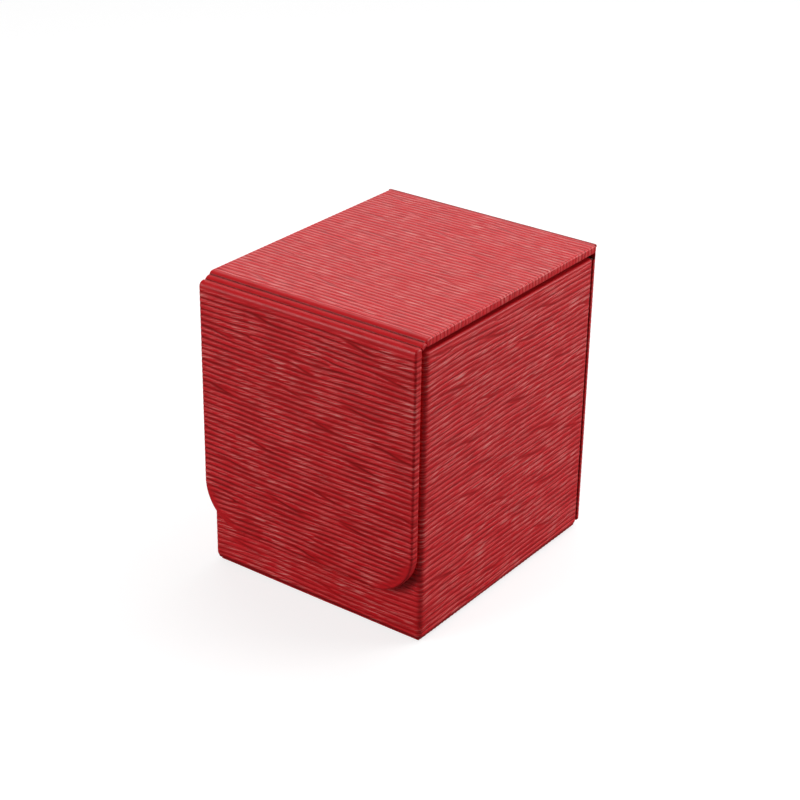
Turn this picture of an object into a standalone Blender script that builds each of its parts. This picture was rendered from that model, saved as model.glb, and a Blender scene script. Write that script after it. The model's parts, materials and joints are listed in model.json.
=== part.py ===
"""A deck box for trading cards: a board box wrapped in leather, in a leather cover of spine, lid and flap.

Metres, +Z up. The origin is the middle of the object's footprint, on the surface it stands on, and the flap
faces -Y. The cover is one leather sheet over stiff boards. It bends at three creases, which are the joints:
behind the lid, and on both sides of a narrow strip between the lid and the flap. Glued layers are kept one
glue line apart.
"""

import math

import bmesh
import bpy
from mathutils import Vector

# Overall sizes
HEIGHT = 0.1020
DEPTH = 0.0975
BODY_WIDTH = 0.0825
BODY_DEPTH = 0.0910
COVER_WIDTH = 0.0817
RIM_HEIGHT = 0.0978  # top of the body, under the lid

# Layers
GLUE = 0.0003
LEATHER = 0.0005
LINING = 0.0005
WALL_BOARD = 0.0020
TURN_UNDER = 0.0100  # leather turned under the base
TURN_INSIDE = 0.0080  # leather turned over the rim and down the inside
CORNER_RADIUS = 0.0018
BOTTOM_RADIUS = 0.0012
RIM_RADIUS = 0.0007

# Cover
FLAP_STANDOFF = 0.0045  # flap's front face to the body's front face
FLAP_THICKNESS = 0.0031
FLAP_BOTTOM = 0.0166
FLAP_TOP = 0.1002
FLAP_CORNER_RADIUS = 0.0155
FLAP_EDGE_RADIUS = 0.0008
LID_THICKNESS = 0.0028
LID_LINING = 0.0013
LID_FRONT_INSET = 0.0053  # flap's front face to the lid's front edge
LID_EDGE_RADIUS = 0.0007
BORDER = 0.0030  # leather turned round the back of the lid and the flap
LID_BOARD_SETBACK = 0.00035  # body's rear face to the rear end of the lid's board and lining
LID_SIDE_SETBACK = 0.00005  # body's rear face to the rear end of the lid's sides
SPINE_BOTTOM = 0.0016
SPINE_BOARD_DOWN = 0.0005  # body's rim to the top of the spine's board
SPINE_CREASE_GAP = 0.0008  # top of the spine's leather to the lid's crease
BASE_INSET = 0.0015

# Front creases, measured back from the flap's front face and down from the lid's top
FIRST_GROOVE_BACK = 0.0049
FIRST_GROOVE_DOWN = 0.0011
SECOND_GROOVE_BACK = 0.0029
SECOND_GROOVE_DOWN = 0.0021
STRIP_LEATHER = 0.0005
STRIP_LINING = 0.0004
CREASE_CLEARANCE = 0.0003  # strip's edges to the two creases
CREASE_NOTCH_FORWARD = 0.0005  # the flap's leather is cut away this far round its crease
CREASE_NOTCH_DOWN = 0.0006

# Catch magnets
MAGNET_RADIUS = 0.0040
MAGNET_SPACING = 0.0440
MAGNET_HEIGHT = 0.0320

# Smoothness of round edges and discs
CORNER_SEGMENTS = 4
LARGE_CORNER_SEGMENTS = 12
EDGE_SEGMENTS = 3
DISC_SIDES = 32
SHARP_ANGLE = math.radians(40)  # a disc's rim stays sharp above this angle
SOFTENED_ANGLE = math.radians(30)  # and softening takes the edges above this one

# Places worked out from the sizes
SHELL = LEATHER + GLUE  # a wrapped face to the board under it
FRONT = -DEPTH / 2
REAR = DEPTH / 2
BODY_FRONT = FRONT + FLAP_STANDOFF
BODY_REAR = BODY_FRONT + BODY_DEPTH
BODY_X = BODY_WIDTH / 2
COVER_X = COVER_WIDTH / 2
WALL = SHELL + WALL_BOARD  # a wrapped face to the inner face of its board
WRAP_BOTTOM = LEATHER + GLUE  # underside of the body's leather, above the base sheet
BASE_BOARD_BOTTOM = WRAP_BOTTOM + SHELL
BASE_BOARD_TOP = BASE_BOARD_BOTTOM + WALL_BOARD
BOARD_FOOT = BASE_BOARD_TOP + GLUE
BOARD_TOP = RIM_HEIGHT - SHELL
TURN_END = RIM_HEIGHT - TURN_INSIDE
FLAP_BACK = FRONT + FLAP_THICKNESS
LID_FRONT = FRONT + LID_FRONT_INSET
LID_UNDERSIDE = HEIGHT - LID_THICKNESS
LID_BOARD_REAR = BODY_REAR - LID_BOARD_SETBACK
LID_SIDE_REAR = BODY_REAR - LID_SIDE_SETBACK

LID_CREASE = Vector((0.0, REAR, HEIGHT))
FIRST_CREASE = Vector((0.0, FRONT + FIRST_GROOVE_BACK, HEIGHT - FIRST_GROOVE_DOWN))
SECOND_CREASE = Vector((0.0, FRONT + SECOND_GROOVE_BACK, HEIGHT - SECOND_GROOVE_DOWN))

PAST = 0.0050  # how far a cutter runs past what it cuts
MARK_SIZE = 0.0100  # the empties that mark the creases


def clear_scene():
    for old in list(bpy.data.objects):
        bpy.data.objects.remove(old, do_unlink=True)


def new_collection(name):
    collection = bpy.data.collections.new(name)
    bpy.context.scene.collection.children.link(collection)
    return collection


def new_material(name, color, roughness, metallic=0.0):
    material = bpy.data.materials.new(name)
    material.use_nodes = True
    material.diffuse_color = (*color, 1.0)
    shader = material.node_tree.nodes["Principled BSDF"]
    shader.inputs["Base Color"].default_value = (*color, 1.0)
    shader.inputs["Roughness"].default_value = roughness
    shader.inputs["Metallic"].default_value = metallic
    return material


def new_crease(name, place, parent=None):
    """An empty on a crease, which the pieces that turn on it are parented to."""
    crease = bpy.data.objects.new(name, None)
    crease.empty_display_size = MARK_SIZE
    parts.objects.link(crease)
    put(crease, place, parent)
    return crease


def put(thing, place, parent):
    """Places a thing at a point of the world, also under a parent, whose own rotation is none."""
    thing.parent = parent
    thing.location = place - world_place(parent)


def world_place(thing):
    place = Vector()
    while thing is not None:
        place = place + thing.location
        thing = thing.parent
    return place


def block(name, low, high, material=None, parent=None):
    """A box between two corners. Without a material it is a cutter."""
    low = Vector(low)
    high = Vector(high)
    shape = bmesh.new()
    bmesh.ops.create_cube(shape, size=1.0)
    bmesh.ops.scale(shape, vec=high - low, verts=shape.verts)
    mesh = bpy.data.meshes.new(name)
    shape.to_mesh(mesh)
    shape.free()
    piece = bpy.data.objects.new(name, mesh)
    put(piece, (low + high) / 2, parent)
    finish_piece(piece, material)
    return piece


def disc(name, centre, radius, thickness, material=None, parent=None):
    """A round disc whose axis is Y."""
    shape = bmesh.new()
    bmesh.ops.create_cone(
        shape, cap_ends=True, segments=DISC_SIDES, radius1=radius, radius2=radius, depth=thickness
    )
    mesh = bpy.data.meshes.new(name)
    shape.to_mesh(mesh)
    shape.free()
    mesh.shade_smooth()
    mesh.set_sharp_from_angle(angle=SHARP_ANGLE)
    piece = bpy.data.objects.new(name, mesh)
    piece.rotation_euler = (math.radians(90), 0.0, 0.0)
    put(piece, Vector(centre), parent)
    finish_piece(piece, material)
    return piece


def finish_piece(piece, material):
    """Gives a piece its material, or makes it a cutter, and files it."""
    if material is None:
        piece.hide_render = True
        piece.display_type = "WIRE"
        cutters.objects.link(piece)
    else:
        piece.data.materials.append(material)
        parts.objects.link(piece)


def runs(direction, axis):
    """Whether an edge of a box runs along the axis x, y or z."""
    return abs(getattr(direction, axis)) > 0.5


def round_edges(piece, radius, segments, share):
    """Rounds the edges of a box. share(middle, direction) is the part of the radius that an edge gets."""
    weights = piece.data.attributes.new("bevel_weight_edge", "FLOAT", "EDGE")
    for edge, weight in zip(piece.data.edges, weights.data):
        start, end = (piece.data.vertices[index].co for index in edge.vertices)
        weight.value = share((start + end) / 2, (end - start).normalized())
    rounding = piece.modifiers.new("rounding", "BEVEL")
    rounding.limit_method = "WEIGHT"
    rounding.width = radius
    rounding.segments = segments


def round_uprights(piece, radius):
    """Rounds the four upright edges of a box."""
    round_edges(piece, radius, CORNER_SEGMENTS, lambda middle, way: float(runs(way, "z")))


def round_lower_corners(piece, radius):
    """Gives an upright panel its two large lower corners."""
    round_edges(
        piece,
        radius,
        LARGE_CORNER_SEGMENTS,
        lambda middle, way: float(runs(way, "y") and middle.z < 0),
    )


def soften(piece, radius):
    """Rounds every sharp edge that is left."""
    rounding = piece.modifiers.new("softening", "BEVEL")
    rounding.limit_method = "ANGLE"
    rounding.angle_limit = SOFTENED_ANGLE
    rounding.width = radius
    rounding.segments = EDGE_SEGMENTS


def cut(piece, *shapes):
    for shape in shapes:
        difference = piece.modifiers.new("cut " + shape.name, "BOOLEAN")
        difference.operation = "DIFFERENCE"
        difference.solver = "EXACT"
        difference.object = shape


def make_boards():
    """The body's greyboard: four walls stand on the base, and the side walls fit between front and rear."""
    x = BODY_X - SHELL
    front = BODY_FRONT + SHELL
    rear = BODY_REAR - SHELL
    inner_front = BODY_FRONT + WALL
    inner_rear = BODY_REAR - WALL
    base = block("base_board", (-x, front, BASE_BOARD_BOTTOM), (x, rear, BASE_BOARD_TOP), greyboard)
    round_uprights(base, BOTTOM_RADIUS)
    front_board = block("front_board", (-x, front, BOARD_FOOT), (x, inner_front, BOARD_TOP), greyboard)
    rear_board = block("rear_board", (-x, inner_rear, BOARD_FOOT), (x, rear, BOARD_TOP), greyboard)
    for board, side in ((front_board, -1), (rear_board, 1)):
        round_edges(
            board,
            BOTTOM_RADIUS,
            CORNER_SEGMENTS,
            lambda middle, way, side=side: float(runs(way, "z") and middle.y * side > 0),
        )
    for name, side in (("left_board", -1), ("right_board", 1)):
        reach = sorted((side * x, side * (BODY_X - WALL)))
        block(
            name,
            (reach[0], inner_front + GLUE, BOARD_FOOT),
            (reach[1], inner_rear - GLUE, BOARD_TOP),
            greyboard,
        )
    return front_board


def make_body_leather():
    """One sheet round the four walls, turned under the base, and over the rim down the inside."""
    sheet = block(
        "body_leather", (-BODY_X, BODY_FRONT, WRAP_BOTTOM), (BODY_X, BODY_REAR, RIM_HEIGHT), leather
    )

    def share(middle, way):
        if runs(way, "z"):
            return 1.0
        return (BOTTOM_RADIUS if middle.z < 0 else RIM_RADIUS) / CORNER_RADIUS

    round_edges(sheet, CORNER_RADIUS, CORNER_SEGMENTS, share)
    hollow_x = BODY_X - LEATHER
    hollow_front = BODY_FRONT + LEATHER
    hollow_rear = BODY_REAR - LEATHER
    hollow = block(
        "cut_body_hollow",
        (-hollow_x, hollow_front, WRAP_BOTTOM + LEATHER),
        (hollow_x, hollow_rear, TURN_END),
    )
    round_uprights(hollow, CORNER_RADIUS - LEATHER)
    channel = block(
        "cut_rim_channel",
        (-hollow_x, hollow_front, TURN_END - BOTTOM_RADIUS),
        (hollow_x, hollow_rear, RIM_HEIGHT - LEATHER),
    )
    round_uprights(channel, CORNER_RADIUS - LEATHER)
    back = WALL + GLUE  # a wrapped face to the back of the leather turned inside
    core = block(
        "cut_rim_core",
        (-(BODY_X - back), BODY_FRONT + back, TURN_END - PAST),
        (BODY_X - back, BODY_REAR - back, RIM_HEIGHT + PAST),
    )
    cut(channel, core)
    mouth = block(
        "cut_mouth",
        (-(BODY_X - back - LEATHER), BODY_FRONT + back + LEATHER, TURN_END - BOTTOM_RADIUS),
        (BODY_X - back - LEATHER, BODY_REAR - back - LEATHER, RIM_HEIGHT + PAST),
    )
    under = block(
        "cut_under_base",
        (-(BODY_X - TURN_UNDER), BODY_FRONT + TURN_UNDER, WRAP_BOTTOM - PAST),
        (BODY_X - TURN_UNDER, BODY_REAR - TURN_UNDER, WRAP_BOTTOM + LEATHER + GLUE),
    )
    cut(sheet, hollow, channel, mouth, under)


def make_base_leather():
    sheet = block(
        "base_leather",
        (-(BODY_X - BASE_INSET), BODY_FRONT + BASE_INSET, 0.0),
        (BODY_X - BASE_INSET, BODY_REAR - BASE_INSET, LEATHER),
        leather,
    )
    round_uprights(sheet, CORNER_RADIUS)


def make_linings():
    """The cloth panels inside the body, which end under the leather turned over the rim."""
    outer = WALL + GLUE
    inner = outer + LINING
    top = TURN_END - GLUE
    x = BODY_X - outer
    front = BODY_FRONT + outer
    rear = BODY_REAR - outer
    block("front_lining", (-x, front, BOARD_FOOT), (x, front + LINING, top), microfibre)
    block("rear_lining", (-x, rear - LINING, BOARD_FOOT), (x, rear, top), microfibre)
    for name, side in (("left_lining", -1), ("right_lining", 1)):
        reach = sorted((side * x, side * (x - LINING)))
        block(
            name,
            (reach[0], front + LINING + GLUE, BOARD_FOOT),
            (reach[1], rear - LINING - GLUE, top),
            microfibre,
        )
    floor_x = BODY_X - inner - GLUE
    block(
        "floor_lining",
        (-floor_x, BODY_FRONT + inner + GLUE, BOARD_FOOT),
        (floor_x, BODY_REAR - inner - GLUE, BOARD_FOOT + LINING),
        microfibre,
    )


def make_spine():
    """The cover's rear panel, glued to the rear wall. Its leather runs on up to the crease behind the lid."""
    board_front = BODY_REAR + GLUE
    board_rear = REAR - SHELL
    board_top = RIM_HEIGHT - SPINE_BOARD_DOWN
    block(
        "spine_board",
        (-(COVER_X - SHELL), board_front, SPINE_BOTTOM + SHELL),
        (COVER_X - SHELL, board_rear, board_top),
        greyboard,
    )
    leather_top = HEIGHT - SPINE_CREASE_GAP
    sheet = block(
        "spine_leather", (-COVER_X, board_front, SPINE_BOTTOM), (COVER_X, REAR, leather_top), leather
    )
    round_edges(
        sheet,
        LID_EDGE_RADIUS,
        EDGE_SEGMENTS,
        lambda middle, way: float(middle.y > 0 and not (runs(way, "x") and middle.z > 0)),
    )
    hollow_x = COVER_X - LEATHER
    hollow_top = board_top + GLUE
    hollow = block(
        "cut_spine_hollow",
        (-hollow_x, board_front - PAST, SPINE_BOTTOM + LEATHER),
        (hollow_x, REAR - LEATHER, hollow_top),
    )
    neck = block(
        "cut_spine_neck",
        (-COVER_X - PAST, board_front - PAST, hollow_top - GLUE),
        (COVER_X + PAST, REAR - LEATHER, HEIGHT + PAST),
    )
    cut(sheet, hollow, neck)
    block(
        "rear_hinge_lining",
        (-(COVER_X - SHELL), REAR - SHELL - LINING, RIM_HEIGHT + GLUE),
        (COVER_X - SHELL, REAR - SHELL, leather_top - GLUE),
        microfibre,
    )


def make_lid():
    """A board with the leather over it, turned in at both sides, and a padded lining underneath."""
    board_top = HEIGHT - SHELL
    board_bottom = LID_UNDERSIDE + SHELL
    block(
        "lid_board",
        (-(COVER_X - SHELL), LID_FRONT + SHELL, board_bottom),
        (COVER_X - SHELL, LID_BOARD_REAR, board_top),
        greyboard,
        lid_crease,
    )
    sheet = block(
        "lid_leather",
        (-COVER_X, LID_FRONT, LID_UNDERSIDE),
        (COVER_X, REAR - CREASE_CLEARANCE, HEIGHT),
        leather,
        lid_crease,
    )
    round_edges(
        sheet,
        LID_EDGE_RADIUS,
        EDGE_SEGMENTS,
        lambda middle, way: float(middle.z > 0 and not (runs(way, "x") and middle.y > 0)),
    )
    hollow_x = COVER_X - LEATHER
    hollow = block(
        "cut_lid_hollow",
        (-hollow_x, LID_FRONT + LEATHER, LID_UNDERSIDE + LEATHER),
        (hollow_x, LID_SIDE_REAR + PAST, HEIGHT - LEATHER),
    )
    window = block(
        "cut_lid_window",
        (-(COVER_X - BORDER), LID_FRONT - PAST, LID_UNDERSIDE - PAST),
        (COVER_X - BORDER, LID_SIDE_REAR + PAST, LID_UNDERSIDE + LEATHER + GLUE),
    )
    below_lip = block(
        "cut_below_lid_lip",
        (-COVER_X - PAST, LID_FRONT - PAST, LID_UNDERSIDE - PAST),
        (COVER_X + PAST, LID_FRONT + LEATHER, FIRST_CREASE.z),
    )
    behind = block(
        "cut_behind_lid_sides",
        (-COVER_X - PAST, LID_SIDE_REAR, LID_UNDERSIDE - PAST),
        (COVER_X + PAST, REAR + PAST, HEIGHT - LEATHER),
    )
    cut(sheet, hollow, window, below_lip, behind)
    block(
        "lid_lining",
        (-(COVER_X - BORDER - GLUE), LID_FRONT + SHELL, LID_UNDERSIDE + LEATHER - LID_LINING),
        (COVER_X - BORDER - GLUE, LID_BOARD_REAR, LID_UNDERSIDE + LEATHER),
        microfibre,
        lid_crease,
    )


def make_front_strip():
    """The narrow strip of bare leather and lining between the two front creases, sloping from lid to flap."""
    run = FIRST_CREASE - SECOND_CREASE
    slope = math.atan2(run.z, run.y)
    length = run.length - 2 * CREASE_CLEARANCE
    outward = Vector((0.0, -math.sin(slope), math.cos(slope)))
    middle = (FIRST_CREASE + SECOND_CREASE) / 2
    layers = (
        ("front_hinge_leather", STRIP_LEATHER, 0.0, leather),
        ("front_hinge_lining", STRIP_LINING, -(STRIP_LEATHER / 2 + GLUE + STRIP_LINING / 2), microfibre),
    )
    for name, thickness, offset, material in layers:
        half = Vector((COVER_X, length / 2, thickness / 2))
        centre = middle + outward * offset
        layer = block(name, centre - half, centre + half, material, first_crease)
        layer.rotation_euler = (slope, 0.0, 0.0)


def make_flap():
    """The long front panel: a board with leather turned round its edges, and a lining on its back."""
    board_front = FRONT + SHELL
    board_back = FLAP_BACK - SHELL
    board = block(
        "flap_board",
        (-(COVER_X - SHELL), board_front, FLAP_BOTTOM + SHELL),
        (COVER_X - SHELL, board_back, FLAP_TOP - SHELL),
        greyboard,
        second_crease,
    )
    round_lower_corners(board, FLAP_CORNER_RADIUS - SHELL)

    sheet = block(
        "flap_leather", (-COVER_X, FRONT, FLAP_BOTTOM), (COVER_X, FLAP_BACK, FLAP_TOP), leather, second_crease
    )
    round_lower_corners(sheet, FLAP_CORNER_RADIUS)
    soften(sheet, FLAP_EDGE_RADIUS)
    hollow = block(
        "cut_flap_hollow",
        (-(COVER_X - LEATHER), FRONT + LEATHER, FLAP_BOTTOM + LEATHER),
        (COVER_X - LEATHER, FLAP_BACK - LEATHER, FLAP_TOP - LEATHER),
    )
    round_lower_corners(hollow, FLAP_CORNER_RADIUS - LEATHER)
    window = block(
        "cut_flap_window",
        (-(COVER_X - BORDER), FLAP_BACK - LEATHER - GLUE, FLAP_BOTTOM + BORDER),
        (COVER_X - BORDER, FLAP_BACK + PAST, FLAP_TOP + PAST),
    )
    round_lower_corners(window, FLAP_CORNER_RADIUS - BORDER)
    crease_notch = block(
        "cut_flap_crease_notch",
        (-COVER_X - PAST, SECOND_CREASE.y - CREASE_NOTCH_FORWARD, SECOND_CREASE.z - CREASE_NOTCH_DOWN),
        (COVER_X + PAST, FLAP_BACK + PAST, FLAP_TOP + PAST),
    )
    cut(sheet, hollow, window, crease_notch)

    lining = block(
        "flap_lining",
        (-(COVER_X - BORDER - GLUE), FLAP_BACK - LINING, FLAP_BOTTOM + BORDER + GLUE),
        (COVER_X - BORDER - GLUE, FLAP_BACK, SECOND_CREASE.z - SHELL),
        microfibre,
        second_crease,
    )
    round_lower_corners(lining, FLAP_CORNER_RADIUS - BORDER - GLUE)
    return board


def make_magnets(front_board, flap_board):
    """Two pairs of disc magnets, each in a hole through its board, one pair behind the other."""
    pairs = (
        ("body_magnet", front_board, BODY_FRONT + SHELL, WALL_BOARD, None),
        ("flap_magnet", flap_board, FRONT + SHELL, FLAP_THICKNESS - 2 * SHELL, second_crease),
    )
    for name, board, face, thickness, parent in pairs:
        for side_name, side in (("left", -1), ("right", 1)):
            centre = (side * MAGNET_SPACING / 2, face + thickness / 2, MAGNET_HEIGHT)
            disc(f"{name}_{side_name}", centre, MAGNET_RADIUS, thickness - GLUE, steel, parent)
            hole = disc(f"cut_{name}_{side_name}", centre, MAGNET_RADIUS + GLUE, thickness + PAST)
            cut(board, hole)


clear_scene()
parts = new_collection("card_deck_box")
cutters = new_collection("cutters")

leather = new_material("ribbed_leather", (0.42, 0.012, 0.018), 0.42)
greyboard = new_material("greyboard", (0.34, 0.31, 0.27), 0.9)
microfibre = new_material("microfibre", (0.030, 0.028, 0.030), 0.95)
steel = new_material("plated_steel", (0.62, 0.62, 0.60), 0.25, 1.0)

lid_crease = new_crease("lid_crease", LID_CREASE)
first_crease = new_crease("first_crease", FIRST_CREASE, lid_crease)
second_crease = new_crease("second_crease", SECOND_CREASE, first_crease)

front_board = make_boards()
make_body_leather()
make_base_leather()
make_linings()
make_spine()
make_lid()
make_front_strip()
flap_board = make_flap()
make_magnets(front_board, flap_board)
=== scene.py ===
"""Looks of the card deck box: ribbed leather skins, cloth linings, and a white studio round them."""

import json
import math

import bpy
import numpy as np
from mathutils import Matrix, Vector


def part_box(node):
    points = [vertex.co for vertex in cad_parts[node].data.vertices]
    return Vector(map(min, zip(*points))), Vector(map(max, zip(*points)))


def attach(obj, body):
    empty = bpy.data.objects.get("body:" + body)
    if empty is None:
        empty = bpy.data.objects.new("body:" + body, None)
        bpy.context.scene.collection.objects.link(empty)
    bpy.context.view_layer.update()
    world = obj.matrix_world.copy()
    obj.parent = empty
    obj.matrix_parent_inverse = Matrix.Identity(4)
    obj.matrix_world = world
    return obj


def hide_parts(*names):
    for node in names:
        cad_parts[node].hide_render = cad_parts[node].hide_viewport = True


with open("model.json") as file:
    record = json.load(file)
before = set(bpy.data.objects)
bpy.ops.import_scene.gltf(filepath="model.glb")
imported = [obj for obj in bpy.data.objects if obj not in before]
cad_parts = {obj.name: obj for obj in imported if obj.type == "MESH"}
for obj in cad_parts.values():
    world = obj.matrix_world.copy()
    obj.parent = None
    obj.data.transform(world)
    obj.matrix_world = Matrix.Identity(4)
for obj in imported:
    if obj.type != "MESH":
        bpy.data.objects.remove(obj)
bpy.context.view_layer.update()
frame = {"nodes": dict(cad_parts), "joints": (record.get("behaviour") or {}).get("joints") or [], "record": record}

# ---------------------------------------------------------------- sizes, in metres, from the frame

LID_LOW, LID_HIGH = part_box("lid_leather")
LID_BOARD_LOW, LID_BOARD_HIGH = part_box("lid_board")
LID_LINING_LOW, LID_LINING_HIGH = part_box("lid_lining")
FLAP_LOW, FLAP_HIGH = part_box("flap_leather")
FLAP_BOARD_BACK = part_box("flap_board")[1].y
FLAP_LINING_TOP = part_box("flap_lining")[1].z
SPINE_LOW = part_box("spine_leather")[0]
SPINE_BOARD_LOW, SPINE_BOARD_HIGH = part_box("spine_board")
BODY_LOW, BODY_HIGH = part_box("body_leather")
BASE_LOW, BASE_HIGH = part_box("base_leather")
LEFT_BOARD_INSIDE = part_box("left_board")[1].x
FRONT_LINING_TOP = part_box("front_lining")[1].z

JOINTS = {joint["name"]: joint for joint in frame["joints"]}
REAR_CREASE = Vector(JOINTS["lid_hinge"]["pos_m"])
FIRST_CREASE = Vector(JOINTS["strip_fold"]["pos_m"])
SECOND_CREASE = Vector(JOINTS["flap_fold"]["pos_m"])

GLUE = 0.0003
LEATHER = BASE_HIGH.z - BASE_LOW.z
COVER_X = LID_HIGH.x
HINGE_CLOTH_X = LID_LINING_HIGH.x
BORDER_GAP = 0.0001  # leather turned round a panel's back, to the lining beside it
BORDER = COVER_X - LID_LINING_HIGH.x - BORDER_GAP
FLAP_CORNER = 0.0155
BODY_CORNER = 0.0018

# Sheet round the body
BODY_ROW = 0.00030  # spacing of its points up the walls
BODY_COLUMN = 0.00125  # and round them
BODY_CORNER_STEPS = 4
SHARPEST_CORNER = 0.0003
WALL_BOW = 0.0003  # how far the middle of a wall sinks in
WALL_BOW_HEIGHT = 0.097
OUTER_SIDE = 0.001  # the sheet bows within that distance of its outermost point

# Ribs of each sheet: seed, and the lowest and highest place along the ribs and across them
FLAP_RIBS = (11, (-0.046, 0.046), (-0.006, 0.090))
STRIP_RIBS = (5, (-0.046, 0.046), (-0.003, 0.006))
LID_RIBS = (23, (-0.047, 0.047), (-0.006, 0.100))
SPINE_RIBS = (37, (-0.046, 0.046), (-0.006, 0.108))
BODY_RIBS = (41, (-0.002, 0.350), (-0.002, 0.100))
BASE_RIBS = (53, (-0.045, 0.045), (-0.047, 0.050))

# Ribs of the leather
PITCH = 0.00184
RIB_HEIGHT = 0.00030
EDGE_DEPTH = 0.3  # grooves at a panel's side edges, as a share of the others
BODY_CORNER_DEPTH = 0.4  # and at the body's upright corners
LID_DEPTH = 0.7  # grooves of the lid and of the body, as a share of the flap's, in depth and in their painted shade
BODY_DEPTH = 0.78
SMOOTH = 0.58  # height of leather that is pulled smooth, in the same measure as a rib's 0 to 1
SLIT = 0.00002  # from a skin's end to the axis of its crease
CREASE_SHADE = 0.00035  # reach of the painted shade along a crease
ROW = 0.00023  # spacing of a skin's points across the ribs
COLUMN = 0.0009  # and along them
MERGED_DIGITS = 7  # points that are equal to that many decimals become one
TINY = 1e-9
ARC_START = 1e-7  # a corner's arc begins that far under its centre
SIDE_STEP = 0.0005  # spacing of the rings on a panel's sides
BACK_TURN = 0.0004  # radius where the leather turns round to the back

# The studio
CAMERA_LENS = 85.98
CAMERA_AZIMUTH = 36.0
CAMERA_ELEVATION = 26.34
CAMERA_ROLL = 0.99
CAMERA_DISTANCE = 6.028  # in heights of the box, as the two offsets are
CAMERA_OFFSET = (-0.0057, 0.0171)
ROOM_LIGHT = 0.10
SOFT_WALLS = (  # direction, angles in degrees of full and no brightness, strength
    ((-0.55, 0.80, 0.28), 15, 55, 1.1),
    ((0.68, 0.72, 0.05), 15, 50, 1.1),
    ((-0.55, -0.83, 0.02), 10, 40, 0.65),
)
LIGHTS = (  # name, place, size, watts
    ("top_light", (0.10, 0.25, 0.75), (0.45, 0.45), 2.0),
    ("left_light", (-0.40, -0.85, 0.45), (0.5, 0.4), 4.6),
    ("right_light", (0.66, 0.62, 0.30), (0.5, 0.5), 3.9),
)
LIGHTS_AIM = (0, 0, 0.05)
FLOOR_SIZE = 12
FLOOR_GLOW = 0.74

# Colours of the leather, the cloth, the board and the magnets
# the groove red is painted shade: the grooves are coloured darker in place of the shade that falls in them
GROOVE_SHADE_RED = (0.26, 0.0003, 0.0010, 1)
RIB_RED = (0.76, 0.0130, 0.0210, 1)
PATCH_RED = (0.58, 0.0050, 0.0080, 1)
STREAK_RED = (0.26, 0.0005, 0.0010, 1)
# pale pink of the painted highlight on the rib crests
HIGHLIGHT_PINK = (0.84, 0.24, 0.22, 1)
CLOTH_DARK = (0.016, 0.015, 0.017, 1)
CLOTH_MIDDLE = (0.055, 0.052, 0.056, 1)
CLOTH_BRUSHED = (0.075, 0.072, 0.078, 1)
BOARD_FLECK = (0.23, 0.21, 0.18, 1)
BOARD_GREY = (0.42, 0.39, 0.34, 1)
NICKEL_WORN = (0.50, 0.49, 0.46, 1)
NICKEL = (0.68, 0.67, 0.65, 1)


# ---------------------------------------------------------------- the ribs

def wander(draw, wavelength, stretch):
    """Eight sine waves of about one length, which make a smooth random field. It changes faster across the
    ribs than along them, by the stretch."""
    waves = []
    for _ in range(8):
        angle = draw.uniform(0, 2 * math.pi)
        size = 2 * math.pi / wavelength * draw.uniform(0.6, 1.4)
        waves.append((size * math.cos(angle), size * stretch * math.sin(angle), draw.uniform(0, 2 * math.pi)))
    return waves


def sway(waves, along, across):
    """The value of such a field, mostly between -1 and 1."""
    return sum(np.sin(a * along + b * across + c) for a, b, c in waves) / 2


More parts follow.
